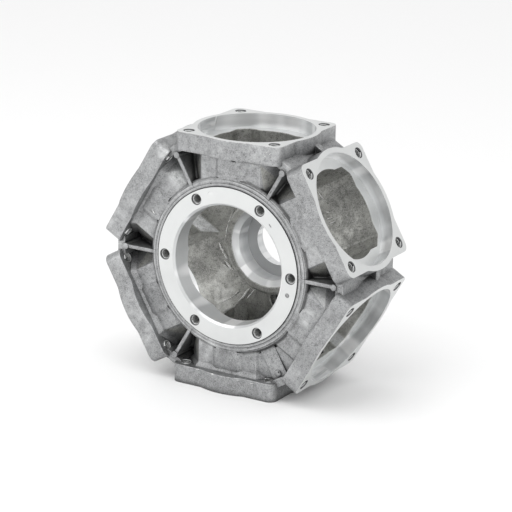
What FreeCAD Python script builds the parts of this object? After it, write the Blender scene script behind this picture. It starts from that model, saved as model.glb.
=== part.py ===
"""Crankcase of a radial pump with six cylinders, cast in one piece of aluminium.

The crankshaft axis is the Y axis. The front cover seats on a machined ring whose
face is the plane y = 0, and the centre of that ring is the origin. The cylinders
point out from the axis every 60 degrees in the XZ plane, the first one straight up,
and the housing stands on the flange of the cylinder that points down.

Each cylinder has a square flange with a bulge on every side, a counterbore with a
flat ledge for the cylinder liner, and a lobed chamber that runs in to the crank
space. Between two cylinders a valley is closed by a floor, a bridge web and a thin
rib in front and behind, and the pockets beside the ribs leave room for the studs.
The sizes below are in millimetres.
"""
import FreeCAD, Part
import math
import os

from FreeCAD import Vector

# cylinders around the crankshaft axis
cylinder_count = 6
first_cylinder_angle = 90.0
flange_face_distance = 129.3
cylinder_setback = 53.1

# flange of a cylinder
flange_half_width = 59.0
flange_corner_radius = 8.0
flange_bulge_rise = 4.7
flange_bulge_blend = 12.0
flange_thickness = 18.7
stud_edge_distance = 10.7

# liner seat in the flange
liner_bore_radius = 58.3
liner_bore_depth = 14.7

# lobed chamber of a cylinder
chamber_half_width = 42.8
chamber_bulge_rise = 3.9
chamber_corner_cut = 10.0
chamber_edge_radius = 4.0

# cast walls
wall_thickness = 6.4
corner_wall_cut = 16.0
flange_root_chamfer = 4.0

# front ring that carries the cover
front_bore_radius = 61.0
front_bore_chamfer = 2.2
ring_face_radius = 79.6
ring_groove_width = 1.0
ring_groove_depth = 1.4
ring_step_radii = (82.8, 86.4)
ring_step_drops = (0.7, 1.6)
ring_outer_radius = 89.6
ring_outer_depth = 24.0
ring_edge_round = 2.0
cover_bolt_circle_radius = 72.0
cover_bolt_depth = 20.0

# hub behind the ring, scalloped by the chambers
hub_outer_radius = 86.0
hub_least_depth = 21.0
hub_greatest_depth = 34.0
hub_scallop_radius = 84.0

# tapped holes, drilled to the core size of the thread
thread_core_radius = 4.25
drill_run_out = 1.5

# rear bearing boss
boss_front = 78.0
boss_front_radius = 50.4
boss_root_radius = 55.0
boss_edge_round = 2.5
seat_radius = 36.0
seat_lead_radius = 42.1
seat_rim_depth = 0.5
seat_lead_depth = 4.0
seat_depth = 21.4
shaft_hole_radius = 24.4
rear_boss_radius = 44.0
rear_boss_face = 118.8
rear_recess_radius = 28.8
rear_recess_depth = 10.3
rear_boss_chamfer = 1.5

# pockets, ribs and webs between two cylinders
rib_thickness = 3.4
rib_front = 1.2
rib_end_inset = 5.0
rib_pin_radius = 3.1
rib_pin_inset = 9.5
rib_pin_proud = 1.3
pocket_slope_start_radius = 92.0
pocket_depth_at_start = 15.0
pocket_depth_at_throat = 31.0
pocket_filler_half_width = 13.0
valley_floor_radius = 129.0
valley_floor_thickness = 8.0
valley_floor_half_width = 10.0
valley_floor_front = 1.5
valley_floor_back_inset = 8.0
bridge_web_rise = 6.3
bridge_web_front = 57.6
bridge_web_thickness = 7.9
bridge_web_half_width = 12.0

# the gap at the lower right is cast nearly solid
solid_gap_angle = -60.0
solid_gap_pocket_depths = (6.0, 8.0)
solid_gap_filler_half_width = 21.0
solid_gap_rib_thickness = 17.4
solid_gap_rib_front = 5.6
solid_gap_pin_inset = 12.5

# raised pads over the bulge, on the front and back of each barrel
pad_width = 24.0
pad_proud = 2.0

# oil passages
rear_oil_pocket_radius = 9.0
rear_oil_pocket_distance = 59.0
rear_oil_pocket_side = 7.0
rear_oil_pocket_depth = 13.0
rear_oil_boss_wall = 7.0
side_oil_hole_radius = 3.6
side_oil_hole_place = 108.0
side_oil_hole_setback = 66.0
side_oil_hole_depth = 15.0
side_oil_hole_cylinder = -30.0

# values that follow from the sizes above
gap_step = 360.0 / cylinder_count
cylinder_angles = [first_cylinder_angle - gap_step * i for i in range(cylinder_count)]
gap_angles = [angle - gap_step / 2 for angle in cylinder_angles]
stud_half_pitch = flange_half_width - stud_edge_distance
flange_bulge_radius = flange_half_width + flange_bulge_rise
chamber_bulge_radius = chamber_half_width + chamber_bulge_rise
valley_floor_inner_radius = valley_floor_radius - valley_floor_thickness
bridge_web_radius = valley_floor_radius + bridge_web_rise
barrel_half_width = chamber_half_width + wall_thickness
barrel_front = cylinder_setback - barrel_half_width
barrel_back = cylinder_setback + barrel_half_width
rear_wall_front = cylinder_setback + chamber_half_width
chamber_bulge_back = cylinder_setback + chamber_bulge_radius
flange_underside = flange_face_distance - flange_thickness
ledge_distance = flange_face_distance - liner_bore_depth
flange_front = cylinder_setback - flange_half_width
flange_back = cylinder_setback + flange_half_width
half_wall = wall_thickness / 2

# how far a shape runs into the metal beside it, and a cutter past its surface
embed = 1.0
overcut = 2.0

CRANK_AXIS = Vector(0, 1, 0)


def turned(shape, angle):
    """Turn a shape made on the +X axis to a cylinder or gap at this angle."""
    copy = shape.copy()
    copy.rotate(Vector(0, 0, 0), -CRANK_AXIS, angle)
    return copy


def joined(shape, others):
    """Fuse the others to a shape and merge the faces that became one."""
    return shape.fuse(others).removeSplitter()


def mirrored_back(shape):
    """Mirror a shape from the front half to the back half of the cylinders."""
    return shape.mirror(Vector(0, cylinder_setback, 0), CRANK_AXIS)


def block(radial, axial, half_width):
    """A box on the +X axis, between two radial and two axial distances."""
    size = (radial[1] - radial[0], axial[1] - axial[0], 2 * half_width)
    return Part.makeBox(*size, Vector(radial[0], axial[0], -half_width))


def cylinder_along_crank(radius, start, end, centre=(0.0, 0.0)):
    """A cylinder that runs along the crankshaft axis from start to end."""
    return Part.makeCylinder(radius, end - start, Vector(centre[0], start, centre[1]), CRANK_AXIS)


def cylinder_along_x(radius, start, end, axial=cylinder_setback, sideways=0.0):
    """A cylinder that points out along +X from start to end."""
    return Part.makeCylinder(radius, end - start, Vector(start, axial, sideways), Vector(1, 0, 0))


def revolved(profile):
    """Turn a closed profile of (radius, axial) points about the crankshaft axis."""
    corners = [Vector(radius, axial, 0) for radius, axial in profile]
    face = Part.Face(Part.makePolygon(corners + corners[:1]))
    return face.revolve(Vector(0, 0, 0), CRANK_AXIS, 360)


def edges_along_x(shape):
    """The straight edges of a shape that run along +X."""
    found = []
    for edge in shape.Edges:
        if isinstance(edge.Curve, Part.Line) and abs(abs(edge.tangentAt(edge.FirstParameter).x) - 1) < 1e-6:
            found.append(edge)
    return found


def cut_square_prism(half_width, corner_cut, start, end):
    """A square prism with cut corners that points out along +X."""
    near = half_width - corner_cut
    outline = [
        (half_width, near), (near, half_width), (-near, half_width), (-half_width, near),
        (-half_width, -near), (-near, -half_width), (near, -half_width), (half_width, -near),
    ]
    corners = [Vector(start, cylinder_setback + axial, side) for side, axial in outline]
    return Part.Face(Part.makePolygon(corners + corners[:1])).extrude(Vector(end - start, 0, 0))


def chamber_core():
    """The core of one chamber: a square with cut, rounded corners and a bulge on each side."""
    core = cut_square_prism(chamber_half_width, chamber_corner_cut, 0.0, flange_face_distance)
    core = core.makeFillet(chamber_edge_radius, edges_along_x(core))
    return core.fuse(cylinder_along_x(chamber_bulge_radius, 0.0, flange_face_distance)).removeSplitter()


def flange_plate():
    """The square flange with rounded corners and a bulge on every side."""
    plate = block((flange_underside, flange_face_distance), (flange_front, flange_back), flange_half_width)
    plate = plate.makeFillet(flange_corner_radius, edges_along_x(plate))
    plate = plate.fuse(cylinder_along_x(flange_bulge_radius, flange_underside, flange_face_distance))
    plate = plate.removeSplitter()
    blends = []
    for edge in edges_along_x(plate):
        point = edge.Vertexes[0].Point
        from_axis = math.hypot(point.y - cylinder_setback, point.z)
        if abs(from_axis - flange_bulge_radius) < 0.01:
            blends.append(edge)
    return plate.makeFillet(flange_bulge_blend, blends)


def root_edges(shape):
    """The edges where the barrel meets the underside of its flange."""
    found = []
    for edge in shape.Edges:
        level = edge.BoundBox
        if abs(level.XMin - flange_underside) > 1e-4 or abs(level.XMax - flange_underside) > 1e-4:
            continue
        middle = edge.valueAt((edge.FirstParameter + edge.LastParameter) / 2)
        if max(abs(middle.y - cylinder_setback), abs(middle.z)) < barrel_half_width + embed:
            found.append(edge)
    return found


def barrel_pads():
    """The low pads in the middle of the barrel's front and back, out to the flange."""
    radial = (ring_step_radii[1], flange_underside + overcut)
    axial = (barrel_front - pad_proud, barrel_back + pad_proud)
    return block(radial, axial, pad_width / 2)


def cylinder_body():
    """The outside of one cylinder: barrel, flange and pads."""
    barrel = cut_square_prism(barrel_half_width, corner_wall_cut, 0.0, flange_underside + overcut)
    body = barrel.fuse(flange_plate()).removeSplitter()
    body = body.makeChamfer(flange_root_chamfer, root_edges(body))
    return joined(body, [barrel_pads()])


def pocket_filler(depths, half_width):
    """The metal behind the front pocket and before the back one, with a sloping floor."""
    shallow, deep = depths
    axial_back = 2 * cylinder_setback
    outline = [
        (pocket_slope_start_radius, shallow), (valley_floor_inner_radius, deep),
        (valley_floor_radius, deep), (valley_floor_radius, axial_back - pocket_depth_at_throat),
        (valley_floor_inner_radius, axial_back - pocket_depth_at_throat),
        (pocket_slope_start_radius, axial_back - pocket_depth_at_start),
    ]
    corners = [Vector(radial, axial, -half_width) for radial, axial in outline]
    face = Part.Face(Part.makePolygon(corners + corners[:1]))
    return face.extrude(Vector(0, 0, 2 * half_width))


def rib(thickness, front):
    """A rib from the ring out to the valley floor, deep enough to reach the pocket floor."""
    radial = (ring_step_radii[0], valley_floor_radius - rib_end_inset)
    return block(radial, (front, pocket_depth_at_throat + overcut), thickness / 2)


def rib_pin(front, inset):
    """The round boss that an ejector pin leaves near the outer end of a rib."""
    centre = (valley_floor_radius - inset, 0.0)
    return cylinder_along_crank(rib_pin_radius, front - rib_pin_proud, pocket_depth_at_throat, centre)


def valley_floor():
    """The web that closes the throat between two flanges."""
    axial = (valley_floor_front, flange_back - valley_floor_back_inset)
    return block((valley_floor_inner_radius, valley_floor_radius), axial, valley_floor_half_width)


def bridge_web():
    """The web across the valley that ties two flanges together."""
    axial = (bridge_web_front, bridge_web_front + bridge_web_thickness)
    return block((valley_floor_inner_radius, bridge_web_radius), axial, bridge_web_half_width)


def gap_webs(angle):
    """Everything cast between two cylinders at this angle."""
    solid_gap = abs(angle - solid_gap_angle) < 1e-6
    if solid_gap:
        filler = pocket_filler(solid_gap_pocket_depths, solid_gap_filler_half_width)
        front_rib = rib(solid_gap_rib_thickness, solid_gap_rib_front)
        pin = rib_pin(solid_gap_rib_front, solid_gap_pin_inset)
    else:
        filler = pocket_filler((pocket_depth_at_start, pocket_depth_at_throat), pocket_filler_half_width)
        front_rib = rib(rib_thickness, rib_front)
        pin = rib_pin(rib_front, rib_pin_inset)
    back_rib = mirrored_back(rib(rib_thickness, rib_front))
    webs = [front_rib, pin, back_rib, valley_floor(), bridge_web()]
    return turned(filler.fuse(webs), angle)


def front_ring():
    """The ring in front of the barrels, stepped outside its machined face."""
    first_step, second_step = ring_step_radii
    first_drop, second_drop = ring_step_drops
    groove_end = ring_face_radius + ring_groove_width
    profile = [
        (0.0, 0.0), (ring_face_radius, 0.0), (ring_face_radius, ring_groove_depth),
        (groove_end, ring_groove_depth), (groove_end, first_drop), (first_step, first_drop),
        (first_step + first_drop, second_drop), (second_step, second_drop),
        (second_step + second_drop, second_drop + first_drop),
        (ring_outer_radius - ring_edge_round, second_drop + first_drop),
        (ring_outer_radius, second_drop + first_drop + ring_edge_round),
        (ring_outer_radius, ring_outer_depth), (0.0, ring_outer_depth),
    ]
    return revolved(profile)


def ring_hub():
    """The thick hub behind the ring, whose back is scalloped by the chambers."""
    hub = cylinder_along_crank(hub_outer_radius, barrel_front + embed, hub_greatest_depth)
    reach = 2 * hub_outer_radius
    scallops = []
    for angle in cylinder_angles[:cylinder_count // 2]:
        scallop = cylinder_along_x(hub_scallop_radius, -reach, reach, hub_least_depth + hub_scallop_radius)
        scallops.append(turned(scallop, angle))
    return hub.cut(scallops)


def bearing_boss():
    """The boss that stands on the rear wall inside the crank space."""
    root = chamber_bulge_back + embed
    profile = [
        (0.0, boss_front), (boss_front_radius - boss_edge_round, boss_front),
        (boss_front_radius, boss_front + boss_edge_round),
        (boss_root_radius, rear_wall_front + half_wall),
        (boss_root_radius, root), (0.0, root),
    ]
    return revolved(profile)


def rear_boss():
    """The boss outside the rear wall, with its machined end face."""
    profile = [
        (0.0, rear_wall_front + half_wall),
        (rear_boss_radius + wall_thickness, rear_wall_front + half_wall),
        (rear_boss_radius + wall_thickness, barrel_back + half_wall),
        (rear_boss_radius, barrel_back + wall_thickness),
        (rear_boss_radius, rear_boss_face - rear_boss_chamfer),
        (rear_boss_radius - rear_boss_chamfer, rear_boss_face),
        (0.0, rear_boss_face),
    ]
    return revolved(profile)


def rear_oil_boss():
    """The boss outside the rear wall around the blind oil pocket."""
    radius = rear_oil_pocket_radius + rear_oil_boss_wall
    end = rear_wall_front + rear_oil_pocket_depth + rear_oil_boss_wall
    centre = (rear_oil_pocket_side, -rear_oil_pocket_distance)
    return cylinder_along_crank(radius, rear_wall_front + embed, end, centre)


def stud_holes():
    """Four through holes in the flange on the +X axis, drilled for tapping."""
    start = flange_underside - drill_run_out
    end = flange_face_distance + overcut
    holes = []
    for side in (-stud_half_pitch, stud_half_pitch):
        for axial in (-stud_half_pitch, stud_half_pitch):
            holes.append(cylinder_along_x(thread_core_radius, start, end, cylinder_setback + axial, side))
    return holes


def cover_bolt_holes():
    """Blind holes around the front ring, drilled for tapping, one in line with each gap."""
    centre = (cover_bolt_circle_radius, 0.0)
    hole = cylinder_along_crank(thread_core_radius, -overcut, cover_bolt_depth, centre)
    return [turned(hole, angle) for angle in gap_angles]


def liner_seat():
    """The machined counterbore in the flange, down to its ledge."""
    return cylinder_along_x(liner_bore_radius, ledge_distance, flange_face_distance + overcut)


def front_bore():
    """The machined bore through the ring and hub, with its chamfer."""
    profile = [
        (0.0, -overcut), (front_bore_radius + front_bore_chamfer + overcut, -overcut),
        (front_bore_radius, front_bore_chamfer), (front_bore_radius, hub_greatest_depth + overcut),
        (0.0, hub_greatest_depth + overcut),
    ]
    return revolved(profile)


def bearing_seat():
    """The bearing seat, shoulder, shaft hole and rear recess, cut in one revolve."""
    shoulder = boss_front + seat_depth
    recess_floor = rear_boss_face - rear_recess_depth
    profile = [
        (0.0, boss_front - overcut), (seat_lead_radius + overcut, boss_front - overcut),
        (seat_lead_radius, boss_front + seat_rim_depth), (seat_radius, boss_front + seat_lead_depth),
        (seat_radius, shoulder), (shaft_hole_radius, shoulder),
        (shaft_hole_radius, recess_floor), (rear_recess_radius, recess_floor),
        (rear_recess_radius, rear_boss_face - rear_boss_chamfer),
        (rear_recess_radius + rear_boss_chamfer + overcut, rear_boss_face + overcut),
        (0.0, rear_boss_face + overcut),
    ]
    return revolved(profile)


def oil_passages():
    """The blind pocket in the rear wall and the small hole in one chamber wall."""
    centre = (rear_oil_pocket_side, -rear_oil_pocket_distance)
    pocket = cylinder_along_crank(rear_oil_pocket_radius, rear_wall_front - overcut,
                                  rear_wall_front + rear_oil_pocket_depth, centre)
    hole = Part.makeCylinder(side_oil_hole_radius, side_oil_hole_depth + overcut,
                             Vector(side_oil_hole_place, side_oil_hole_setback, overcut - chamber_half_width),
                             Vector(0, 0, -1))
    return [pocket, turned(hole, side_oil_hole_cylinder)]


def raw_casting():
    """The housing as it comes from the mould, with its cores taken out."""
    body = cylinder_body()
    bodies = [turned(body, angle) for angle in cylinder_angles]
    raw = joined(bodies[0], bodies[1:])
    raw = joined(raw, [gap_webs(angle) for angle in gap_angles])
    raw = joined(raw, [front_ring(), rear_boss(), rear_oil_boss()])
    core = chamber_core()
    cores = [turned(core, angle) for angle in cylinder_angles]
    raw = raw.cut(joined(cores[0], cores[1:])).removeSplitter()
    return joined(raw, [ring_hub(), bearing_boss()])


def machined(raw):
    """The bores, seats, tapped holes and oil passages cut into the casting."""
    raw = raw.cut([front_bore()]).cut([bearing_seat()])
    raw = raw.cut([turned(liner_seat(), angle) for angle in cylinder_angles])
    studs = []
    for angle in cylinder_angles:
        studs += [turned(hole, angle) for hole in stud_holes()]
    raw = raw.cut(studs)
    raw = raw.cut(cover_bolt_holes())
    return raw.cut(oil_passages()).removeSplitter()


os.makedirs("parts", exist_ok=True)
housing = machined(raw_casting())
housing.exportStep("parts/pump_housing.step")
print("solids", len(housing.Solids), "valid", housing.isValid(), "faces", len(housing.Faces),
      "volume", round(housing.Volume / 1000), "cm3")
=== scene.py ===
"""Looks of the cast pump housing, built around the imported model.

The crankshaft axis is Y, the machined front ring faces -Y with its centre at the
origin, and six cylinders point out every 60 degrees in the XZ plane. The casting
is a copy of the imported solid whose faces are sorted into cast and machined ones.
"""
import bpy
import bmesh
import itertools
import math
import random
from mathutils import Matrix, Vector


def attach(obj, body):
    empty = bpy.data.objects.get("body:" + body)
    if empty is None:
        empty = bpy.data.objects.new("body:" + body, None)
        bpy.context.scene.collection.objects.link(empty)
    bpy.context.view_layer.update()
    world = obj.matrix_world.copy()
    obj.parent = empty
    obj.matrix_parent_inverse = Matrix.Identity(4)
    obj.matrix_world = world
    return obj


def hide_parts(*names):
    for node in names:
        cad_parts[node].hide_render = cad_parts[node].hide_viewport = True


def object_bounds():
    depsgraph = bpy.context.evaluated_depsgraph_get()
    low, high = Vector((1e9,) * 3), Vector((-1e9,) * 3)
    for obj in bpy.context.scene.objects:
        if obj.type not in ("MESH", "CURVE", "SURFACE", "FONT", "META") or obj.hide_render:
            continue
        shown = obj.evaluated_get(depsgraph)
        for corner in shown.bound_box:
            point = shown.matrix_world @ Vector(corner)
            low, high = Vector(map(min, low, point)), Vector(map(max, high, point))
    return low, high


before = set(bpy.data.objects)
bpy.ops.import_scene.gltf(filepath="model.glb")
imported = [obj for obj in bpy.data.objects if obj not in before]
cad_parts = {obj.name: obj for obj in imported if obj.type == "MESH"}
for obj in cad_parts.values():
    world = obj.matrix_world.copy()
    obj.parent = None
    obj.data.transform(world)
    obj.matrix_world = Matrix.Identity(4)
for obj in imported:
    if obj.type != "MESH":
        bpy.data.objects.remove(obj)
cad_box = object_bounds()

bl_info = {
    "name": "Pump housing looks",
    "version": (1, 0, 0),
    "blender": (4, 5, 0),
    "location": "View3D > Sidebar > Pump housing",
    "description": "Dresses the packed casting of a radial pump and sets up its studio",
    "category": "Object",
}

MM = 0.001
NODE = "pump_housing"
FORWARD = Vector((0.0, -1.0, 0.0))
BACK = Vector((0.0, 1.0, 0.0))
WHITE = (1.0, 1.0, 1.0)

# how far a face may lie off its own plane, and off its own bore, and still be sorted with it
SEAM = 0.02 * MM
SLACK = 0.3 * MM

# the camera was fitted in cover bolt circle radii, and its focal length in pixels of the photograph
BOLT_CIRCLE = 72.0 * MM
FOCAL_PIXELS = 2326.09
PHOTO_PIXELS = 512.0

# which gap between the cylinders has a nearly filled pocket, clockwise from 0 at the upper right
FILLED_GAP = 2

# which way the facet inside the crankcase faces that takes the lighter skin, a painted highlight
HIGHLIT_FACET = Vector((0.35, -0.71, 0.61))

# a direction that lies along none of the bores, and the one in which the flanges were milled
SLANT = Vector((0.31, 0.52, 0.79))
MILL_PATH = (0.37, 0.85, 0.37)

# x, y, z and reach of the painted highlight patches outside, in millimetres
HIGHLIGHT_SPOTS = (
    (-60.0, 5.0, 79.0, 15.0),
    (90.0, 3.0, -37.0, 13.0),
    (-72.0, -2.0, 107.0, 11.0),
    (63.0, 1.5, 111.5, 8.0),
    (-15.0, 1.6, -86.0, 12.0),
)

# each step of the ring, the reach of its painted shadow line, how far inside it its painted
# highlight lies and the highlight's reach, in millimetres
RING_LINES = (
    ("ring_step", 0.7, 1.2, 0.8),
    ("ring_edge", 0.8, 1.3, 0.9),
)

# x, y, z, radius, depth, lean and turn of each small mark sunk into the front, in millimetres and
# degrees; a mark with a turn is a narrow dash
SUNK_MARKS = (
    (-19.4, 0.0, 69.8, 3.3, 0.05, -6.0, 0.0),
    (48.2, 0.0, 49.7, 2.0, 0.35, 0.0, 40.0),
    (69.1, 0.0, -17.3, 2.3, 0.35, 0.0, 0.0),
    (4.0, 1.9, 106.9, 3.2, 1.6, 0.0, 84.0),
    (-20.1, 1.1, 80.6, 1.3, 0.8, 0.0, 60.0),
    (59.3, 4.3, -99.6, 1.2, 0.8, 0.0, 0.0),
)

# torn flash inside and nicks outside: height, half width, then the points it runs through, in millimetres
# their near white colour paints glints along the flash and highlights on the flange edges
FLASH = (
    (2.4, 1.7, (-68.2, 95.9, -11.5), (-65.5, 96.4, -17.0), (-62.3, 98.5, -23.6), (-59.4, 99.5, -29.0)),
    (2.0, 1.5, (-62.6, 99.6, -31.4), (-58.0, 99.8, -35.0), (-52.0, 99.2, -39.9)),
    (1.2, 0.8, (-66.0, 97.0, -33.0), (-60.0, 99.5, -37.5)),
    (1.3, 0.8, (-53.0, 99.5, 24.9), (-56.4, 97.6, 16.3), (-58.8, 95.9, 5.6), (-59.8, 95.9, -5.3)),
    (1.9, 1.1, (-30.0, 95.9, -53.7), (-34.1, 95.0, -58.6), (-36.1, 92.6, -63.7), (-41.3, 89.4, -69.2)),
    (1.0, 0.7, (-41.9, 95.9, -58.1), (-51.2, 95.6, -67.3), (-63.0, 95.2, -74.9)),
    (0.8, 0.7, (-33.6, 94.9, -66.0), (-25.2, 95.9, -55.0), (-16.0, 95.9, -51.8)),
    (1.6, 0.9, (46.7, 95.9, 61.9), (50.2, 95.9, 57.3), (53.6, 95.9, 54.9)),
    (1.5, 0.8, (52.2, 99.6, 41.1), (60.0, 99.6, 41.1)),
    (2.0, 0.9, (54.5, 99.8, 33.3), (63.5, 99.8, 37.3)),
    (2.0, 0.9, (56.9, 99.6, 28.6), (65.9, 99.6, 33.3)),
    (0.35, 0.7, (-10.6, -10.1, -110.9), (-6.0, -10.1, -110.8)),
    (0.35, 0.6, (17.5, -7.9, -112.2), (21.0, -7.2, -112.4)),
    (0.35, 0.7, (31.5, -5.9, -113.4), (36.5, -5.9, -113.0)),
    (0.35, 0.7, (52.2, -5.6, -112.2), (56.0, -4.5, -111.4)),
    (0.35, 0.6, (-30.0, -5.9, -111.5), (-26.0, -5.9, -111.2)),
    (0.30, 0.5, (45.4, -5.9, 122.6), (49.0, -5.9, 126.0)),
    (0.30, 0.5, (48.2, -5.9, 121.2), (51.4, -5.9, 123.9)),
    (0.30, 0.6, (42.9, -5.9, 118.9), (45.3, -5.9, 119.5)),
    (0.30, 0.5, (24.0, 3.9, 105.8), (26.4, 3.9, 105.8)),
    (0.35, 0.7, (-89.3, 1.9, 43.8), (-85.8, 1.9, 38.4)),
)

# each light's name, the strength in Studio that it takes, its width and its place, in metres
LIGHTS = (
    ("top", "key", 1.2, (-0.2, -0.5, 1.5)),
    ("front left", "fill", 1.0, (-1.3, -1.5, 0.1)),
    ("right", "side", 0.9, (1.6, -0.6, 0.6)),
    ("front", "front", 0.8, (0.6, -1.8, 0.0)),
)

# the place inside the housing that the lights face, and half the floor's width
LIT_PLACE = Vector((0.0, 0.05, 0.0))
FLOOR_HALF = 6.0


def length(name, text, value):
    """A length property in metres."""
    return bpy.props.FloatProperty(name=name, description=text, default=value, unit="LENGTH")


def degrees(name, text, value):
    """An angle property, given here in degrees."""
    return bpy.props.FloatProperty(name=name, description=text, default=math.radians(value), subtype="ANGLE")


def factor(name, text, value, high=1.0):
    """A plain number from zero up."""
    return bpy.props.FloatProperty(name=name, description=text, default=value, min=0.0, max=high)


def tint(name, text, value):
    """A colour property."""
    return bpy.props.FloatVectorProperty(name=name, description=text, default=value, size=3,
                                         subtype="COLOR", min=0.0, max=1.0)


class HousingSizes(bpy.types.PropertyGroup):
    """Places on the casting that the looks follow."""
    cylinders: bpy.props.IntProperty(name="Cylinders", description="Cylinders round the crankshaft",
                                     default=6, min=3)
    flange_distance: length("Flange distance", "From the crankshaft axis to a flange face", 129.3 * MM)
    setback: length("Setback", "From the front ring's face back to the cylinder axes", 53.1 * MM)
    liner_radius: length("Liner bore radius", "Radius of the counterbore in a flange", 58.3 * MM)
    liner_ledge: length("Liner ledge", "From the crankshaft axis to the counterbore's ledge", 114.6 * MM)
    stud_pitch: length("Stud half pitch", "From a cylinder axis to its studs along either side", 48.3 * MM)
    front_bore: length("Front bore radius", "Radius of the bore behind the front ring", 61.0 * MM)
    bore_lead: length("Front bore lead-in", "How far the lead-in widens the front bore", 2.3 * MM)
    bore_back: length("Front bore back", "From the front ring's face to behind the front bore", 34.0 * MM)
    face_radius: length("Ring face radius", "Outer radius of the machined ring face", 79.6 * MM)
    cover_circle: length("Cover bolt circle radius", "Radius of the circle of cover bolts", BOLT_CIRCLE)
    core_radius: length("Thread core radius", "Radius of the holes before tapping", 4.25 * MM)
    thread_radius: length("Thread radius", "Outer radius of the thread", 5.0 * MM)
    mouth_radius: length("Mouth radius", "Radius of a tapped hole's countersink", 5.75 * MM)
    thread_pitch: length("Thread pitch", "Distance between two turns of the thread", 1.5 * MM)
    cover_thread: length("Cover thread depth", "Depth of the thread in the ring", 17.0 * MM)
    stud_thread: length("Stud thread depth", "Depth of the thread in a flange", 20.5 * MM)
    chamber_half: length("Chamber half width", "Half the width of a cylinder's chamber", 42.8 * MM)
    chamber_bulge: length("Chamber bulge radius", "Radius of the bulge in a chamber's sides", 46.7 * MM)
    seat_front: length("Seat front", "From the front ring's face back to the bearing seat", 78.0 * MM)
    seat_lead: length("Seat lead radius", "Outer radius of the bearing seat's lead-in", 42.2 * MM)
    rear_face: length("Rear face", "From the front ring's face back to the rear face", 118.8 * MM)
    rear_radius: length("Rear boss radius", "Radius of the rear boss", 44.0 * MM)
    rear_lead: length("Rear boss chamfer", "Depth of the chamfers on the rear boss", 1.6 * MM)
    barrel_half: length("Barrel half width", "Half the width of a barrel outside", 49.2 * MM)
    rib_half: length("Rib half thickness", "Half the thickness of a rib in a pocket", 1.7 * MM)
    pocket_start: length("Pocket start", "From the crankshaft axis to a pocket's inner end", 92.0 * MM)
    pocket_end: length("Pocket end", "From the crankshaft axis to a pocket's outer end", 121.0 * MM)
    pocket_shallow: length("Pocket shallow depth", "Depth of a pocket at its inner end", 15.0 * MM)
    pocket_deep: length("Pocket full depth", "Depth of a pocket at its outer end", 31.0 * MM)
    pocket_fillet: length("Pocket fillet", "Reach of the fillets in a pocket", 2.6 * MM)
    rib_fillet: length("Rib fillet start", "From the crankshaft axis to a rib's fillets", 91.0 * MM)
    wall_fillet: length("Wall fillet start", "From the crankshaft axis to a wall's fillets", 101.2 * MM)
    fillet_end: length("Fillet end", "From the crankshaft axis to the end of the fillets", 120.5 * MM)
    pad_half: length("Pad half width", "Half the width of the pads on a barrel", 12.0 * MM)
    pad_proud: length("Pad height", "Height of a pad over its barrel", 2.0 * MM)
    pad_slope: length("Pad slope", "Width of the slope beside a pad", 5.5 * MM)
    pad_start: length("Pad start", "From the crankshaft axis to a pad's slope", 88.0 * MM)
    flange_under: length("Flange underside", "From the crankshaft axis to a flange's underside", 110.8 * MM)
    oil_side: length("Oil pocket side", "Oil pocket's distance from the middle plane", 7.0 * MM)
    oil_drop: length("Oil pocket drop", "Oil pocket's distance below the crankshaft axis", 59.0 * MM)
    oil_rim: length("Oil pocket rim", "Radius of the raised rim around the oil pocket", 13.4 * MM)
    rear_wall: length("Rear wall", "From the front ring's face back to the rear wall's inside", 95.9 * MM)
    ring_step: length("Ring step", "Radius of the first step outside the ring face", 83.3 * MM)
    ring_edge: length("Ring edge", "Radius of the second step outside the ring face", 87.0 * MM)
    ring_foot: length("Ring foot", "Radius of the ring's outer wall", 89.6 * MM)


class CastFinish(bpy.types.PropertyGroup):
    """The skin that the mould leaves, with the painted shade and highlights laid on it."""
    outside: tint("Outside", "Colour of the skin outside", (0.42, 0.425, 0.43))
    inside: tint("Inside", "Colour of the skin where the cores were", (0.50, 0.50, 0.47))
    # the stain colour serves real stains and also the painted shade in crevices, hollows and at the ring
    stain_and_shade: tint("Stain and shade", "Colour of stains and crevices", (0.05, 0.05, 0.05))
    # a lighter copy of the skin that paints highlights on the pockets' fillets and one facet inside
    highlit: tint("Highlit", "Colour of the pockets' fillets and of the facet inside", (0.62, 0.63, 0.63))
    # the worn colour serves real wear and also the painted highlights on edges, ring steps, sheen patches
    # and spots
    wear_and_highlight: tint("Wear and highlight", "Colour of edges worn bright", (0.74, 0.75, 0.75))
    # the torn colour is near white to paint glints on the flash and nicks as well as bright torn metal
    torn_and_glint: tint("Torn", "Colour of torn flash", (1.0, 1.0, 0.98))
    torn_shade: tint("Torn shade", "Colour of the dark parts of torn flash", (0.30, 0.30, 0.28))
    roughness: factor("Roughness", "Roughness of the cast skin", 0.48)
    metal: factor("Metallic", "How metallic the cast skin looks", 0.80)
    grain: length("Grain", "Height of the fine grain", 0.22 * MM)
    edge: length("Edge rounding", "Rounding that the light shows along cast edges", 0.7 * MM)
    rounding: length("Corner rounding", "Rounding of the corners in the mould", 1.8 * MM)
    # reach of the painted shade that darkens crevices
    crevice_shade: length("Crevice reach", "How far dirt spreads out of a crevice", 7.0 * MM)
    # reach of the painted shade that darkens hollows
    hollow_shade: length("Hollow reach", "How far dark spreads out of a hollow", 26.0 * MM)


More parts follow.
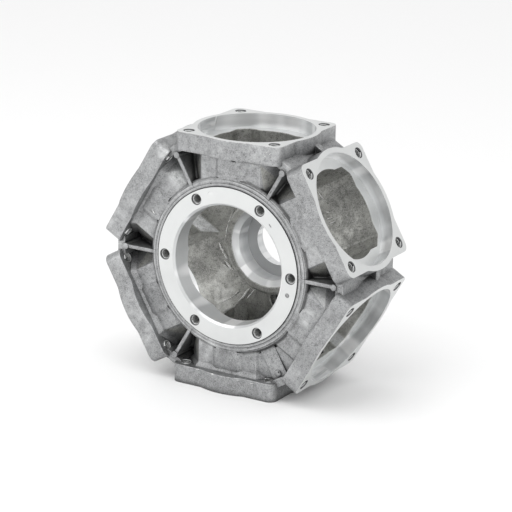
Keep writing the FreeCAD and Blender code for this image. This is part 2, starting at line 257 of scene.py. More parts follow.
class MachinedFinish(bpy.types.PropertyGroup):
    """The bright faces and bores that the cutter leaves."""
    colour: tint("Colour", "Colour of machined metal", (0.70, 0.71, 0.705))
    # lighter than the other machined metal, to paint in the light the bores catch
    bored: tint("Bored", "Colour of the cylinders' bored metal", (0.93, 0.94, 0.945))
    turned: tint("Turned", "Colour of the crankshaft bore's metal", (0.66, 0.67, 0.67))
    shaded: tint("Shaded", "Colour of the step behind the bearing seat", (0.36, 0.365, 0.37))
    # the dark hole colour is painted shade down in the tapped holes
    holes: tint("Holes", "Colour of the tapped holes", (0.10, 0.102, 0.105))
    # the dull colour also paints the darker reflection bands and streaks in the bores
    dull: tint("Dull", "Colour of dull patches and streaks", (0.50, 0.51, 0.515))
    # painted shade deepest down in the tapped holes and threads
    deep_shade: tint("Deep shade", "Colour down in the tapped holes", (0.03, 0.03, 0.03))
    roughness: factor("Roughness", "Roughness of a bored surface", 0.32)
    face_roughness: factor("Face roughness", "Roughness of a milled or turned face", 0.42)
    groove: length("Groove height", "Height of the cutter's grooves", 0.02 * MM)
    groove_pitch: length("Groove pitch", "Distance between the cutter's grooves", 0.8 * MM)
    broken: length("Broken edge", "Rounding that the light shows along machined edges", 0.4 * MM)
    # reach of the painted shade in the tapped holes and threads
    crevice_shade: length("Crevice reach", "How far dark spreads into a tapped hole", 7.0 * MM)


class Studio(bpy.types.PropertyGroup):
    """Floor, light and camera."""
    floor: tint("Floor", "Colour of the floor", (0.95, 0.95, 0.95))
    sky: factor("Sky", "Strength of the white surroundings", 0.93, 10.0)
    key: factor("Key light", "Watts of the large light above", 8.0, 5000.0)
    fill: factor("Fill light", "Watts of the light at the front left", 4.0, 5000.0)
    side: factor("Side light", "Watts of the light at the right", 2.2, 5000.0)
    front: factor("Front light", "Watts of the light beside the camera", 3.6, 5000.0)
    camera_angle: degrees("Camera angle", "Turn of the camera round the object", 30.6382)
    camera_rise: degrees("Camera rise", "Height angle of the camera", 17.3136)
    camera_roll: degrees("Camera roll", "Roll of the camera", 1.1818)
    camera_distance: length("Camera distance", "From the camera to what it aims at", 31.6214 * BOLT_CIRCLE)
    aim_right: length("Aim right", "How far right of the origin the camera aims", 0.3967 * BOLT_CIRCLE)
    aim_up: length("Aim up", "How far above the origin the camera aims", 0.1496 * BOLT_CIRCLE)
    focal: factor("Focal length", "Focal length over the frame's width", FOCAL_PIXELS / PHOTO_PIXELS, 100.0)


# materials

class Signal:
    """A socket that takes part in arithmetic: each operator adds a Math node."""

    def __init__(self, tree, socket):
        self.tree = tree
        self.socket = socket

    def math(self, operation, *others):
        values = [self] + list(others)
        return self.tree.add("ShaderNodeMath", {"operation": operation}, dict(enumerate(values)))

    def __add__(self, other):
        return self.math("ADD", other)

    def __sub__(self, other):
        return self.math("SUBTRACT", other)

    def __rsub__(self, other):
        return self.tree.add("ShaderNodeMath", {"operation": "SUBTRACT"}, {0: other, 1: self})

    def __mul__(self, other):
        return self.math("MULTIPLY", other)

    __radd__ = __add__
    __rmul__ = __mul__


class Tree:
    """A material's node tree, with one method that makes any node."""

    def __init__(self, name):
        self.material = bpy.data.materials.new(name)
        self.material.use_nodes = True
        self.nodes = self.material.node_tree.nodes
        self.links = self.material.node_tree.links
        self.nodes.clear()
        self.place = self.add("ShaderNodeTexCoord", {}, {}, "Object")

    def add(self, kind, settings, inputs, output=0):
        """Add a node, set it up, then give its sockets their values or links."""
        node = self.nodes.new(kind)
        for key, value in settings.items():
            setattr(node, key, value)
        for key, value in inputs.items():
            socket = node.inputs[key]
            if isinstance(value, Signal):
                self.links.new(value.socket, socket)
            elif socket.type == "RGBA" and len(value) == 3:
                socket.default_value = (*value, 1.0)
            else:
                socket.default_value = value
        return Signal(self, node.outputs[output])

    def noise(self, scale, detail=4.0, roughness=0.55, place=None, **more):
        """Noise from 0 to 1 at a scale in waves per metre."""
        return self.add("ShaderNodeTexNoise", {}, {"Vector": place or self.place, "Scale": scale,
                                                   "Detail": detail, "Roughness": roughness, **more})

    def ramp(self, value, low, high):
        """Bring a value to 0 at low and 1 at high, smoothly."""
        return self.add("ShaderNodeMapRange", {"interpolation_type": "SMOOTHSTEP"},
                        {"Value": value, "From Min": low, "From Max": high})

    def mix(self, amount, first, second):
        """Mix two colours."""
        return self.add("ShaderNodeMix", {"data_type": "RGBA"}, {0: amount, 6: first, 7: second}, 2)

    def bump(self, height, distance, normal=None):
        """A bump of this height in metres."""
        inputs = {"Height": height, "Distance": distance}
        if normal:
            inputs["Normal"] = normal
        return self.add("ShaderNodeBump", {}, inputs)

    def finish(self, **sockets):
        """Close the tree with a principled shader."""
        names = {key.replace("_", " "): value for key, value in sockets.items()}
        shader = self.add("ShaderNodeBsdfPrincipled", {}, names)
        output = self.nodes.new("ShaderNodeOutputMaterial")
        self.links.new(shader.socket, output.inputs["Surface"])
        return self.material


def band(tree, value, centre, reach):
    """1 where a value is at the centre, falling to 0 within its reach."""
    return tree.ramp((value - centre).math("ABSOLUTE"), reach, 0.0)


def openness(tree, reach, samples):
    """1 in the open, less where other surfaces stand within reach."""
    return tree.add("ShaderNodeAmbientOcclusion", {"samples": samples}, {"Distance": reach}, "AO")


def rounded_normal(tree, radius, samples):
    """The normal as it would be with edges rounded to a radius."""
    return tree.add("ShaderNodeBevel", {"samples": samples}, {"Radius": radius})


def off_axis(tree):
    """Distance of a point from the crankshaft's axis."""
    across = tree.add("ShaderNodeVectorMath", {"operation": "CROSS_PRODUCT"}, {0: tree.place, 1: BACK})
    return tree.add("ShaderNodeVectorMath", {"operation": "LENGTH"}, {0: across}, "Value")


def worn_and_highlit_edges(tree, finish, colour, crevice_shade, mottle):
    """Wear the edges bright and paint highlights along them, except down in crevices."""
    edge = rounded_normal(tree, finish.edge, 6)
    normal = tree.add("ShaderNodeNewGeometry", {}, {}, "Normal")
    same = tree.add("ShaderNodeVectorMath", {"operation": "DOT_PRODUCT"}, {0: edge, 1: normal}, "Value")
    bent = tree.ramp(1.0 - same, 0.01, 0.12)
    # the bright edge mask stands for real wear and for painted highlights on rounded edges
    wear_and_highlight = bent * (1.0 - crevice_shade) * (tree.ramp(mottle, 0.35, 0.60) * 0.5 + 0.45)
    return tree.mix(wear_and_highlight, colour, finish.wear_and_highlight)


def ring_lines(tree, finish, sizes, colour):
    """Paint shadow lines at the ring's steps and highlights on their lips, and paint shade at the ring's
    foot on the right.
    """
    radius = off_axis(tree)
    across = tree.add("ShaderNodeSeparateXYZ", {}, {0: tree.place}, 0)
    level = tree.add("ShaderNodeSeparateXYZ", {}, {0: tree.place}, 1)
    on_ring = tree.ramp(level, 4.4 * MM, 3.4 * MM)
    uneven = tree.ramp(tree.noise(32.0, 2.0), 0.35, 0.60) * 0.8 + 0.2
    shadow_lines = []
    highlight_lines = []
    for step, shadow_reach, inset, highlight_reach in RING_LINES:
        edge = getattr(sizes, step)
        shadow_lines.append(band(tree, radius, edge, shadow_reach * MM))
        highlight_lines.append(band(tree, radius, edge - inset * MM, highlight_reach * MM))
    colour = tree.mix(sum(highlight_lines) * on_ring * uneven * 0.40, colour, finish.wear_and_highlight)
    colour = tree.mix(sum(shadow_lines) * on_ring * uneven * 0.70, colour, finish.stain_and_shade)
    # painted shade at the ring's foot, on the right side only
    foot = band(tree, radius, sizes.ring_foot, 2.6 * MM) * tree.ramp(level, 0.8 * MM, 3.0 * MM)
    on_right = tree.ramp(across, -30.0 * MM, 60.0 * MM)
    return tree.mix(foot * on_right * 0.80, colour, finish.stain_and_shade)


def highlight_spots(tree, finish, colour, clouds, blots):
    """Paint a few highlight patches, with outlines that wander."""
    wander = (clouds - 0.5) * (24.0 * MM)
    strength = tree.ramp(blots, 0.36, 0.60) * 0.40 + 0.12
    for *spot, reach in HIGHLIGHT_SPOTS:
        centre = Vector(spot) * MM
        away = tree.add("ShaderNodeVectorMath", {"operation": "DISTANCE"},
                        {0: tree.place, 1: centre}, "Value")
        highlit = tree.ramp(away + wander, reach * MM, reach * 0.4 * MM)
        colour = tree.mix(highlit * strength, colour, finish.wear_and_highlight)
    return colour


def cast_material(name, finish, skin, depth, patches, sizes=None, corners=True):
    """The cast skin: mottled grey, fine grain, edges worn bright with painted highlights, painted sheen,
    painted shade in crevices and hollows.
    """
    tree = Tree(name)
    clouds = tree.noise(20.0, 3.0, 0.5)
    blots = tree.noise(75.0, 4.0, 0.65)
    mottle = tree.noise(190.0, 3.0, 0.6)
    grain = tree.noise(640.0, 4.0, 0.75)
    speckle = tree.noise(1500.0, 2.0, 0.6)
    cells = tree.add("ShaderNodeTexVoronoi", {"feature": "F1"}, {"Vector": tree.place, "Scale": 420.0},
                     "Distance")
    pit = tree.ramp(cells, 0.24, 0.10) * tree.ramp(blots, 0.50, 0.62)
    # painted shade: crevices and hollows go darker where other surfaces stand within reach
    crevice_shade = tree.ramp(openness(tree, finish.crevice_shade, 6), 0.92, 0.50)
    hollow_shade = tree.ramp(openness(tree, finish.hollow_shade, 6), 0.70, 0.10)
    dark = tree.ramp(clouds, 0.68, 0.34) * patches + tree.ramp(blots, 0.62, 0.36) * patches * 0.7
    dark = dark + tree.ramp(mottle, 0.62, 0.34) * 0.20 + tree.ramp(speckle, 0.50, 0.28) * 0.40
    dark = dark + tree.ramp(grain, 0.50, 0.30) * 0.42 + pit * 0.5
    colour = tree.mix(dark, skin, finish.stain_and_shade)
    # painted sheen in cloudy patches, with bright grain and speckle
    shine = tree.ramp(clouds, 0.52, 0.68) * tree.ramp(blots, 0.40, 0.60) * 0.26
    shine = shine + tree.ramp(grain, 0.56, 0.78) * 0.50 + tree.ramp(speckle, 0.54, 0.72) * 0.40
    colour = tree.mix(shine, colour, finish.wear_and_highlight)
    rounded = None
    if corners:
        rounded = rounded_normal(tree, finish.rounding, 6)
        colour = worn_and_highlit_edges(tree, finish, colour, crevice_shade, mottle)
    if sizes:
        colour = ring_lines(tree, finish, sizes, colour)
        colour = highlight_spots(tree, finish, colour, clouds, blots)
    # paint the shade of hollows and crevices into the colour
    colour = tree.mix(hollow_shade * depth, colour, finish.stain_and_shade)
    colour = tree.mix(crevice_shade * 0.85, colour, finish.stain_and_shade)
    height = mottle * 0.7 + grain * 0.45 + blots * 1.3 - pit * 0.6
    normal = tree.bump(height, finish.grain, rounded)
    return tree.finish(Base_Color=colour, Metallic=finish.metal, Normal=normal,
                       Roughness=tree.ramp(blots, 0.70, 0.30) * 0.18 + (finish.roughness - 0.10))


def torn_material(name, finish):
    """Torn metal, bright in itself and near white to paint its glints."""
    tree = Tree(name)
    shade = tree.ramp(tree.noise(400.0, 2.0), 0.52, 0.66) * 0.6
    colour = tree.mix(shade, finish.torn_and_glint, finish.torn_shade)
    return tree.finish(Base_Color=colour, Metallic=0.15, Roughness=0.35)


def faced_material(name, finish, colour, rings):
    """A faced or milled surface: pale, even, with faint cutter marks and dull clouds."""
    tree = Tree(name)
    clouds = tree.noise(30.0, 3.0, 0.5)
    speckle = tree.noise(700.0, 3.0, 0.7)
    if rings:
        travel = off_axis(tree)
    else:
        travel = tree.add("ShaderNodeVectorMath", {"operation": "DOT_PRODUCT"},
                          {0: tree.place, 1: MILL_PATH}, "Value")
    phase = travel * (2.0 * math.pi / finish.groove_pitch) + tree.noise(120.0, 2.0) * 6.0
    wave = phase.math("SINE") * 0.5 + 0.5
    dull = tree.ramp(clouds, 0.66, 0.30) * 0.18 + tree.ramp(speckle, 0.42, 0.25) * 0.16 + wave * 0.04
    colour = tree.mix(dull, colour, finish.dull)
    rounded = rounded_normal(tree, finish.broken, 4)
    normal = tree.bump(wave * 0.6 + speckle * 0.4, finish.groove * 0.3, rounded)
    return tree.finish(Base_Color=colour, Metallic=0.80, Normal=normal,
                       Roughness=tree.ramp(clouds, 0.2, 0.8) * 0.08 + (finish.face_roughness - 0.04))


def bored_material(name, finish, colour, contrast=0.0, glint=0.0, depth=0.0):
    """A bored surface: painted reflections in soft bands, streaks and glints along the bore, faint rings
    round it, painted shade down inside holes.
    """
    tree = Tree(name)
    turn = tree.add("ShaderNodeAttribute", {"attribute_name": "turn"}, {}, "Vector")
    along = tree.add("ShaderNodeSeparateXYZ", {}, {0: turn}, 2)
    around = tree.add("ShaderNodeVectorMath", {"operation": "MULTIPLY"}, {0: turn, 1: (1.0, 1.0, 3.0)})
    aside = tree.add("ShaderNodeVectorMath", {"operation": "ADD"}, {0: around, 1: (5.3, 2.7, 0.0)})
    bands = tree.noise(1.3, 0.0, 0.5, around)
    streaks = tree.noise(3.4, 1.0, 0.5, around)
    glints = tree.noise(2.6, 0.0, 0.5, aside)
    clouds = tree.noise(60.0, 3.0, 0.6)
    rings = tree.add("ShaderNodeTexNoise", {"noise_dimensions": "1D"},
                     {"W": along, "Scale": 220.0, "Detail": 1.0})
    # painted reflections: darker bands and streaks round the bore, with faint turned rings
    dull = tree.ramp(bands, 0.62, 0.38) * 0.65 + tree.ramp(streaks, 0.70, 0.36) * 0.35
    dull = dull + tree.ramp(rings, 0.60, 0.40) * 0.12
    shade = tree.mix(dull * contrast, colour, finish.dull)
    # painted glints
    shade = tree.mix(tree.ramp(glints, 0.56, 0.68) * glint, shade, WHITE)
    # painted shade down in the holes
    shade = tree.mix(tree.ramp(openness(tree, finish.crevice_shade, 4), 0.75, 0.25) * depth, shade, finish.deep_shade)
    normal = tree.bump(clouds, finish.groove * 0.5, rounded_normal(tree, finish.broken, 4))
    return tree.finish(Base_Color=shade, Metallic=0.60, Normal=normal,
                       Roughness=tree.ramp(streaks, 0.3, 0.7) * 0.10 + (finish.roughness - 0.03))


# pieces

def cylinder_directions(sizes):
    """Unit vectors along the six cylinders, the first one straight up."""
    found = []
    for index in range(sizes.cylinders):
        angle = math.radians(90.0 - 360.0 / sizes.cylinders * index)
        found.append(Vector((math.cos(angle), 0.0, math.sin(angle))))
    return found


def gap_directions(sizes):
    """Unit vectors along the gaps between the cylinders."""
    turn = Matrix.Rotation(math.pi / sizes.cylinders, 3, "Y")
    return [turn @ direction for direction in cylinder_directions(sizes)]


def new_piece(name, shape, materials):
    """Turn a finished bmesh into a piece that rides on the housing."""
    mesh = bpy.data.meshes.new(name)
    shape.to_mesh(mesh)
    shape.free()
    for material in materials:
        mesh.materials.append(material)
    piece = bpy.data.objects.new(name, mesh)
    bpy.context.scene.collection.objects.link(piece)
    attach(piece, "root")
    return piece


def facing(direction, place):
    """The matrix that turns +Z to a direction and moves the origin to a place."""
    return Matrix.Translation(place) @ direction.to_track_quat("Z", "Y").to_matrix().to_4x4()


def tapped_holes(sizes):
    """The mouth, outward direction and thread depth of every tapped hole."""
    found = []
    for gap in gap_directions(sizes):
        found.append((gap * sizes.cover_circle, FORWARD, sizes.cover_thread))
    for direction in cylinder_directions(sizes):
        side = direction.cross(FORWARD)
        for across in (-sizes.stud_pitch, sizes.stud_pitch):
            for axial in (-sizes.stud_pitch, sizes.stud_pitch):
                place = direction * sizes.flange_distance + side * across + BACK * (sizes.setback + axial)
                found.append((place, direction, sizes.stud_thread))
    return found


def spun(profile, turns, steps, rise):
    """Spin a chain of (radius, height) points round Z, rising with each turn."""
    shape = bmesh.new()
    verts = [shape.verts.new((radius, 0.0, height)) for radius, height in profile]
    edges = [shape.edges.new(pair) for pair in zip(verts, verts[1:])]
    total = steps * turns
    bmesh.ops.spin(shape, geom=verts + edges, cent=(0.0, 0.0, 0.0), axis=(0.0, 0.0, 1.0),
                   dvec=(0.0, 0.0, rise / steps), angle=2.0 * math.pi * turns, steps=total,
                   use_merge=rise == 0.0)
    return shape


def gathered(shapes):
    """Put several (bmesh, matrix) pairs into one bmesh and free them."""
    whole = bmesh.new()
    for shape, matrix in shapes:
        shape.transform(matrix)
        part = bpy.data.meshes.new("part")
        shape.to_mesh(part)
        shape.free()
        whole.from_mesh(part)
        bpy.data.meshes.remove(part)
    return whole


def soften(shape, limit):
    """Shade a bmesh smooth except over edges sharper than the limit in degrees."""
    shape.normal_update()
    for face in shape.faces:
        face.smooth = True
    for edge in shape.edges:
        edge.smooth = edge.is_manifold and edge.calc_face_angle(0.0) < math.radians(limit)


def mark_cutters():
    """Shallow cutters for the small marks: a half moon, dashes and round dimples."""
    tall = 4.0 * MM
    narrow = 0.28
    cutters = []
    for x, y, z, radius, depth, lean, turn in SUNK_MARKS:
        disc = bmesh.new()
        bmesh.ops.create_cone(disc, cap_ends=True, segments=24, radius1=radius * MM, radius2=radius * MM,
                              depth=tall)
        bmesh.ops.translate(disc, verts=disc.verts, vec=(0.0, 0.0, tall / 2.0 - depth * MM))
        if turn:
            bmesh.ops.scale(disc, verts=disc.verts, vec=(narrow, 1.0, 1.0))
            bmesh.ops.rotate(disc, verts=disc.verts, matrix=Matrix.Rotation(math.radians(turn), 3, "Z"))
        bmesh.ops.rotate(disc, verts=disc.verts, matrix=Matrix.Rotation(math.radians(lean), 3, "X"))
        cutters.append((disc, facing(FORWARD, Vector((x, y, z)) * MM)))
    return cutters


def hole_cutters(sizes):
    """One mesh that countersinks every tapped hole and opens it to the thread's outer radius."""
    lift = 1.0 * MM
    flare = sizes.mouth_radius + lift
    countersunk = sizes.mouth_radius - sizes.thread_radius
    cutters = mark_cutters()
    for place, outward, depth in tapped_holes(sizes):
        profile = [(0.0, lift), (flare, lift), (sizes.thread_radius, -countersunk),
                   (sizes.thread_radius, -depth), (0.0, -depth)]
        cutter = spun(profile, 1, 24, 0.0)
        bmesh.ops.remove_doubles(cutter, verts=cutter.verts, dist=0.001 * MM)
        bmesh.ops.recalc_face_normals(cutter, faces=cutter.faces)
        cutters.append((cutter, facing(outward, place)))
    return gathered(cutters)


def in_chamber(sizes, point):
    """Whether a point lies on the skin that the chambers' cores left."""
    past_axis = -5.0 * MM
    axial = abs(point.y - sizes.setback)
    for direction in cylinder_directions(sizes):
        across = abs(point.dot(direction.cross(FORWARD)))
        if past_axis < point.dot(direction) < sizes.liner_ledge + SLACK:
            if max(across, axial) < sizes.chamber_half + SLACK:
                return True
            if math.hypot(across, axial) < sizes.chamber_bulge + SLACK:
                return True
    return False


def crank_finish(sizes, centre, normal, nearest, farthest):
    """The finish of a face turned about the crankshaft, or None elsewhere."""
    if normal.y < -0.99 and abs(centre.y) < SLACK and farthest < sizes.face_radius + SLACK:
        return "faced ring"
    in_bore = sizes.front_bore - 1.0 * MM < nearest and farthest < sizes.front_bore + sizes.bore_lead
    if centre.y < sizes.bore_back and in_bore:
        return "crank bore"
    if farthest < sizes.seat_lead and sizes.seat_front + SLACK < centre.y < sizes.rear_face - SEAM:
        if abs(normal.y) > 0.9:
            return "seat step"
        return "liner bore" if abs(normal.y) < 0.3 else "crank bore"
    if centre.y > sizes.rear_face - sizes.rear_lead and farthest < sizes.rear_radius + SEAM:
        return "faced ring"
    return None


def cylinder_finish(sizes, centre, normal, corners):
    """The finish of a machined face on a cylinder's flange or in its counterbore, or None elsewhere."""
    for direction in cylinder_directions(sizes):
        out = centre.dot(direction)
        outward = normal.dot(direction) > 0.99
        if outward and abs(out - sizes.flange_distance) < SEAM:
            return "milled flange"
        axis = BACK * sizes.setback
        farthest = max((corner - direction * corner.dot(direction) - axis).length for corner in corners)
        if out > sizes.liner_ledge - SEAM and farthest < sizes.liner_radius + SLACK:
            return "milled flange" if outward else "liner bore"
    return None


def in_tapped_hole(sizes, centre):
    """Whether a point lies in one of the tapped holes."""
    for place, outward, depth in tapped_holes(sizes):
        away = centre - place
        out = away.dot(outward)
        if -depth - 1.0 * MM < out < 1.0 * MM and (away - outward * out).length < sizes.mouth_radius:
            return True
    return False


def finish_of(sizes, face):
    """The name of a face's finish, from its place on the casting."""
    centre = face.calc_center_median()
    corners = [vert.co for vert in face.verts]
    reach = [math.hypot(corner.x, corner.z) for corner in corners]
    machined = crank_finish(sizes, centre, face.normal, min(reach), max(reach))
    machined = machined or cylinder_finish(sizes, centre, face.normal, corners)
    if machined:
        return machined
    if in_tapped_hole(sizes, centre):
        return "tapped hole"
    if not in_chamber(sizes, centre):
        return "outer skin"
    return "rubbed skin" if face.normal.dot(HIGHLIT_FACET) > 0.985 else "core skin"


def write_turn(sizes, mesh):
    """Store the turn round the bore's own axis, and the place along it, for the bored surfaces."""
    turn = mesh.attributes.new("turn", "FLOAT_VECTOR", "POINT")
    for vert in mesh.vertices:
        axis = BACK
        place = vert.co.copy()
        for direction in cylinder_directions(sizes):
            if vert.co.dot(direction) > sizes.liner_ledge - 1.0 * MM:
                axis = direction
                place = vert.co - BACK * sizes.setback
        side = axis.cross(SLANT).normalized()
        angle = math.atan2(place.dot(axis.cross(side)), place.dot(side))
        turn.data[vert.index].vector = (math.cos(angle), math.sin(angle), place.dot(axis))


def drilled(context, casting, cutters):
    """The casting's mesh with the cutters taken out of it."""
    mesh = bpy.data.meshes.new("cutters")
    cutters.to_mesh(mesh)
    cutters.free()
    holder = bpy.data.objects.new("cutters", mesh)
    context.scene.collection.objects.link(holder)
    drill = casting.modifiers.new("tapped holes", "BOOLEAN")
    drill.object = holder
    drill.solver = "EXACT"
    context.view_layer.update()
    result = bpy.data.meshes.new_from_object(casting.evaluated_get(context.evaluated_depsgraph_get()))
    casting.modifiers.clear()
    bpy.data.objects.remove(holder)
    return result


class PUMP_OT_casting(bpy.types.Operator):
    """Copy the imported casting, drill it, sort its faces and give them their finishes"""
    bl_idname = "pump.casting"
    bl_label = "Casting"

    def execute(self, context):
        sizes = context.scene.housing_sizes
        cast = context.scene.cast_finish
        machined = context.scene.machined_finish
        # the first number after each cast skin's colour is how strongly shade is painted into its hollows,
        # the second how strong its dark patches are
        materials = [
            cast_material("outer skin", cast, cast.outside, 0.50, 0.10, sizes),
            cast_material("core skin", cast, cast.inside, 0.10, 0.20),
            faced_material("faced ring", machined, machined.colour, True),
            bored_material("crank bore", machined, machined.turned, contrast=0.70, glint=0.80),
            faced_material("milled flange", machined, machined.colour, False),
            bored_material("liner bore", machined, machined.bored, contrast=0.85, glint=0.60),
            # a dark colour and deeper dark paint the shade in the tapped holes
            bored_material("tapped hole", machined, machined.holes, depth=0.90),
            faced_material("seat step", machined, machined.shaded, True),
            cast_material("rubbed skin", cast, cast.highlit, 0.15, 0.10),
        ]
        names = [material.name for material in materials]
        shape = bmesh.new()
        shape.from_mesh(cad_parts[NODE].data)
        bmesh.ops.remove_doubles(shape, verts=shape.verts, dist=0.002 * MM)
        bmesh.ops.dissolve_degenerate(shape, edges=shape.edges, dist=0.001 * MM)
        casting = new_piece("casting", shape, materials)
        shape = bmesh.new()
        shape.from_mesh(drilled(context, casting, hole_cutters(sizes)))
        soften(shape, 24.0)
        for face in shape.faces:
            face.material_index = names.index(finish_of(sizes, face))
        shape.to_mesh(casting.data)
        shape.free()
        write_turn(sizes, casting.data)
        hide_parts(NODE)
        return {"FINISHED"}


def swept(section, start, end, across, out):
    """Run a closed section of (across, out) points straight from start to end."""
    shape = bmesh.new()
    verts = [shape.verts.new(start + across * side + out * rise) for side, rise in section]
    face = shape.faces.new(verts)
    grown = bmesh.ops.extrude_face_region(shape, geom=[face])["geom"]
    moved = [item for item in grown if isinstance(item, bmesh.types.BMVert)]
    bmesh.ops.translate(shape, verts=moved, vec=end - start)
    bmesh.ops.recalc_face_normals(shape, faces=shape.faces)
    return shape


def hollow_corner(reach):
    """The section of a fillet in a corner, sunk a little into both walls."""
    sunk = -0.15 * MM
    curve = [((1.0 - t) ** 2 * reach, t ** 2 * reach) for t in (0.0, 0.2, 0.4, 0.6, 0.8, 1.0)]
    return [(reach, sunk)] + curve + [(sunk, reach), (sunk, sunk)]


def slope(width, drop):
    """The section of the soft slope beside a pad: it laps over the pad and sinks into the barrel."""
    lift = 0.03 * MM
    lap = -2.0 * MM
    floor = drop + 0.3 * MM
    steps = (0.0, 0.15, 0.3, 0.45, 0.6, 0.75, 0.9, 1.0)
    curve = [(width * t, drop * t * t * (3.0 - 2.0 * t) - lift * (1.0 - t)) for t in steps]
    return [(lap, -lift)] + curve + [(width, floor), (lap, floor)]


def mirrored(sizes, point):
    """The same place on the casting's back half."""
    return Vector((point.x, 2.0 * sizes.setback - point.y, point.z))


def pocket_fillets(sizes):
    """Fillets along the rib and the walls of every open pocket, front and back."""
    section = hollow_corner(sizes.pocket_fillet)
    half_turn = math.pi / sizes.cylinders
    fillets = []
    for index, gap in enumerate(gap_directions(sizes)):
        if index == FILLED_GAP:
            continue
        side = gap.cross(FORWARD)
        for hand, rear, at_rib in itertools.product((-1.0, 1.0), (False, True), (True, False)):
            ends = []
            for reach in (sizes.rib_fillet if at_rib else sizes.wall_fillet, sizes.fillet_end):
                part = (reach - sizes.pocket_start) / (sizes.pocket_end - sizes.pocket_start)
                depth = sizes.pocket_shallow + part * (sizes.pocket_deep - sizes.pocket_shallow)
                wall = (reach * math.sin(half_turn) - sizes.barrel_half) / math.cos(half_turn)
                ends.append(gap * reach + side * hand * (sizes.rib_half if at_rib else wall) + BACK * depth)
            if rear:
                ends = [mirrored(sizes, point) for point in ends]
            away = side * hand * (1.0 if at_rib else -1.0)
            fillets.append((swept(section, *ends, away, BACK if rear else FORWARD), Matrix()))
    return gathered(fillets)


def pad_slopes(sizes):
    """The slopes beside every pad, front and back."""
    section = slope(sizes.pad_slope, sizes.pad_proud)
    pad_face = sizes.setback - sizes.barrel_half - sizes.pad_proud
    slopes = []
    for direction in cylinder_directions(sizes):
        side = direction.cross(FORWARD)
        for hand, rear in itertools.product((-1.0, 1.0), (False, True)):
            foot = side * hand * sizes.pad_half + BACK * pad_face
            ends = [direction * reach + foot for reach in (sizes.pad_start, sizes.flange_under)]
            if rear:
                ends = [mirrored(sizes, point) for point in ends]
            slopes.append((swept(section, *ends, side * hand, FORWARD if rear else BACK), Matrix()))
    return gathered(slopes)


class PUMP_OT_fillets(bpy.types.Operator):
    """Soften the corners in the pockets and beside the pads"""
    bl_idname = "pump.fillets"
    bl_label = "Fillets"

    def execute(self, context):
        sizes = context.scene.housing_sizes
        cast = context.scene.cast_finish
        fillets = pocket_fillets(sizes)
        soften(fillets, 35.0)
        # the fillets take the lighter skin, a painted highlight
        new_piece("pocket_fillets", fillets, [bpy.data.materials["rubbed skin"]])
        slopes = pad_slopes(sizes)
        soften(slopes, 35.0)
        pad_skin = cast_material("pad skin", cast, cast.outside, 0.50, 0.10, corners=False)
        new_piece("pad_slopes", slopes, [pad_skin])
        return {"FINISHED"}


def ragged_ridge(height, width, points, luck):
    """A thin uneven fin through the points, with its foot sunk into the wall."""
    stride = 1.3 * MM
    sunk = -0.4 * MM
    shape = bmesh.new()
    path = []
    for first, second in zip(points, points[1:]):
        steps = max(2, round((second - first).length / stride))
        path += [first.lerp(second, index / steps) for index in range(steps)]
    path.append(points[-1])
    along = (points[-1] - points[0]).normalized()
    side = along.cross(FORWARD).normalized()
    loops = []
    for index, place in enumerate(path):
        taper = min(1.0, (index + 0.5) / 3.0, (len(path) - index - 0.5) / 3.0)
        top = height * taper * luck.uniform(0.25, 1.0)
        half = luck.uniform(0.5, 1.0) * width * taper
        lean = luck.uniform(-0.4, 0.4) * half
        corners = [(-half, sunk), (half, sunk), (lean + half * 0.4, top), (lean - half * 0.4, top)]
        verts = [shape.verts.new(place + side * across + FORWARD * rise) for across, rise in corners]
        loops.append([shape.edges.new(pair) for pair in zip(verts, verts[1:] + verts[:1])])
    for first, second in zip(loops, loops[1:]):
        bmesh.ops.bridge_loops(shape, edges=first + second)
    bmesh.ops.holes_fill(shape, edges=loops[0] + loops[-1], sides=4)
    bmesh.ops.recalc_face_normals(shape, faces=shape.faces)
    return shape


def pocket_rim(sizes):
    """The raised round rim at the mouth of the oil pocket."""
    half_width = 1.4 * MM
    height = 1.2 * MM
    turns = [math.radians(angle) for angle in range(-30, 211, 30)]
    profile = [(sizes.oil_rim + math.cos(turn) * half_width, math.sin(turn) * height) for turn in turns]
    rim = spun(profile, 1, 40, 0.0)
    bmesh.ops.recalc_face_normals(rim, faces=rim.faces)
    place = Vector((sizes.oil_side, sizes.rear_wall, -sizes.oil_drop))
    return gathered([(rim, facing(FORWARD, place))])


class PUMP_OT_flash(bpy.types.Operator):
    """Leave the mould's flash, a few nicks and the rim of the oil pocket"""
    bl_idname = "pump.flash"
    bl_label = "Flash"

    def execute(self, context):
        luck = random.Random(7)
        fins = []
        for height, half, *points in FLASH:
            places = [Vector(point) * MM for point in points]
            fins.append((ragged_ridge(height * MM, half * MM, places, luck), Matrix()))
        new_piece("flash", gathered(fins), [torn_material("bright flash", context.scene.cast_finish)])
        rim = pocket_rim(context.scene.housing_sizes)
        soften(rim, 50.0)
        new_piece("oil_pocket_rim", rim, [bpy.data.materials["core skin"]])
        return {"FINISHED"}


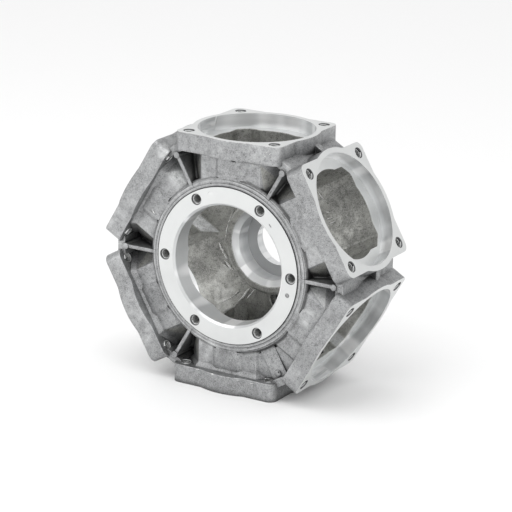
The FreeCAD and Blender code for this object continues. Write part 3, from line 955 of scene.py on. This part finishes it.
class PUMP_OT_threads(bpy.types.Operator):
    """Cut a thread into every tapped hole"""
    bl_idname = "pump.threads"
    bl_label = "Threads"

    def execute(self, context):
        sizes = context.scene.housing_sizes
        machined = context.scene.machined_finish
        pitch = sizes.thread_pitch
        root = sizes.thread_radius + 0.05 * MM
        crest = sizes.core_radius
        profile = [(root, 0.0), (crest, 0.42 * pitch), (crest, 0.58 * pitch), (root, pitch), (root, 0.0)]
        below_mouth = 0.7 * MM
        threads = []
        for place, outward, depth in tapped_holes(sizes):
            turns = int((depth - 1.5 * pitch) / pitch)
            thread = spun(profile, turns, 20, pitch)
            bmesh.ops.remove_doubles(thread, verts=thread.verts, dist=0.001 * MM)
            rims = [edge for edge in thread.edges if edge.is_boundary]
            bmesh.ops.holes_fill(thread, edges=rims, sides=4)
            bmesh.ops.recalc_face_normals(thread, faces=thread.faces)
            sunk = Matrix.Translation((0.0, 0.0, -below_mouth - turns * pitch - pitch))
            threads.append((thread, facing(outward, place) @ sunk))
        whole = gathered(threads)
        for face in whole.faces:
            face.smooth = True
        # the thread is painted darker down in its hole
        new_piece("threads", whole, [bored_material("thread", machined, machined.colour, depth=0.80)])
        return {"FINISHED"}


class PUMP_OT_stage(bpy.types.Operator):
    """Lay the floor, hang the lights and place the camera"""
    bl_idname = "pump.stage"
    bl_label = "Stage"

    def execute(self, context):
        studio = context.scene.studio
        self.floor(context, studio)
        for name, strength, width, place in LIGHTS:
            self.light(context, name, getattr(studio, strength), width, place)
        world = bpy.data.worlds.new("studio")
        world.use_nodes = True
        background = world.node_tree.nodes["Background"]
        background.inputs["Color"].default_value = (*WHITE, 1.0)
        background.inputs["Strength"].default_value = studio.sky
        context.scene.world = world
        context.scene.view_settings.view_transform = "Standard"
        self.camera(context, studio)
        return {"FINISHED"}

    def floor(self, context, studio):
        """A plain pale floor under the housing."""
        lowest = cad_box[0][2]
        shape = bmesh.new()
        bmesh.ops.create_grid(shape, x_segments=8, y_segments=8, size=FLOOR_HALF,
                              matrix=Matrix.Translation((0.0, 0.0, lowest)))
        mesh = bpy.data.meshes.new("floor")
        shape.to_mesh(mesh)
        shape.free()
        mesh.materials.append(Tree("floor").finish(Base_Color=studio.floor, Roughness=0.9))
        floor = bpy.data.objects.new("floor", mesh)
        context.scene.collection.objects.link(floor)

    def light(self, context, name, power, width, place):
        """A square soft light that faces the housing."""
        lamp = bpy.data.lights.new(name, "AREA")
        lamp.energy = power
        lamp.size = width
        holder = bpy.data.objects.new(name, lamp)
        context.scene.collection.objects.link(holder)
        aim = (LIT_PLACE - Vector(place)).to_track_quat("-Z", "Y").to_matrix().to_4x4()
        holder.matrix_world = Matrix.Translation(place) @ aim

    def camera(self, context, studio):
        """The camera at the photograph's viewing angle."""
        turn = studio.camera_angle
        rise = studio.camera_rise
        roll = studio.camera_roll
        back = Vector((math.sin(turn) * math.cos(rise), -math.cos(turn) * math.cos(rise), math.sin(rise)))
        right = Vector((math.cos(turn), math.sin(turn), 0.0))
        up = back.cross(right)
        level = right * math.cos(roll) + up * math.sin(roll)
        upright = up * math.cos(roll) - right * math.sin(roll)
        aim = right * studio.aim_right + up * studio.aim_up
        lens = bpy.data.cameras.new("camera")
        lens.sensor_width = 36.0
        lens.sensor_fit = "HORIZONTAL"
        lens.lens = studio.focal * lens.sensor_width
        lens.clip_start = 0.05
        lens.clip_end = 50.0
        holder = bpy.data.objects.new("camera", lens)
        context.scene.collection.objects.link(holder)
        view = Matrix((level, upright, back)).transposed().to_4x4()
        holder.matrix_world = Matrix.Translation(aim + back * studio.camera_distance) @ view
        context.scene.camera = holder


class PUMP_PT_panel(bpy.types.Panel):
    """The housing's pieces in the sidebar"""
    bl_idname = "PUMP_PT_panel"
    bl_label = "Pump housing"
    bl_space_type = "VIEW_3D"
    bl_region_type = "UI"
    bl_category = "Pump housing"

    def draw(self, context):
        for operator in OPERATORS:
            self.layout.operator(operator.bl_idname)
        for name in GROUPS:
            box = self.layout.box()
            settings = getattr(context.scene, name)
            for key in settings.bl_rna.properties.keys():
                if key not in ("rna_type", "name"):
                    box.prop(settings, key)


GROUPS = {
    "housing_sizes": HousingSizes,
    "cast_finish": CastFinish,
    "machined_finish": MachinedFinish,
    "studio": Studio,
}
OPERATORS = (PUMP_OT_casting, PUMP_OT_fillets, PUMP_OT_flash, PUMP_OT_threads, PUMP_OT_stage)


def register():
    for name, group in GROUPS.items():
        bpy.utils.register_class(group)
        setattr(bpy.types.Scene, name, bpy.props.PointerProperty(type=group))
    for operator in OPERATORS:
        bpy.utils.register_class(operator)
    bpy.utils.register_class(PUMP_PT_panel)


def unregister():
    bpy.utils.unregister_class(PUMP_PT_panel)
    for operator in reversed(OPERATORS):
        bpy.utils.unregister_class(operator)
    for name, group in reversed(GROUPS.items()):
        delattr(bpy.types.Scene, name)
        bpy.utils.unregister_class(group)


def main():
    register()
    bpy.ops.pump.casting()
    bpy.ops.pump.fillets()
    bpy.ops.pump.flash()
    bpy.ops.pump.threads()
    bpy.ops.pump.stage()


if __name__ == "__main__":
    main()
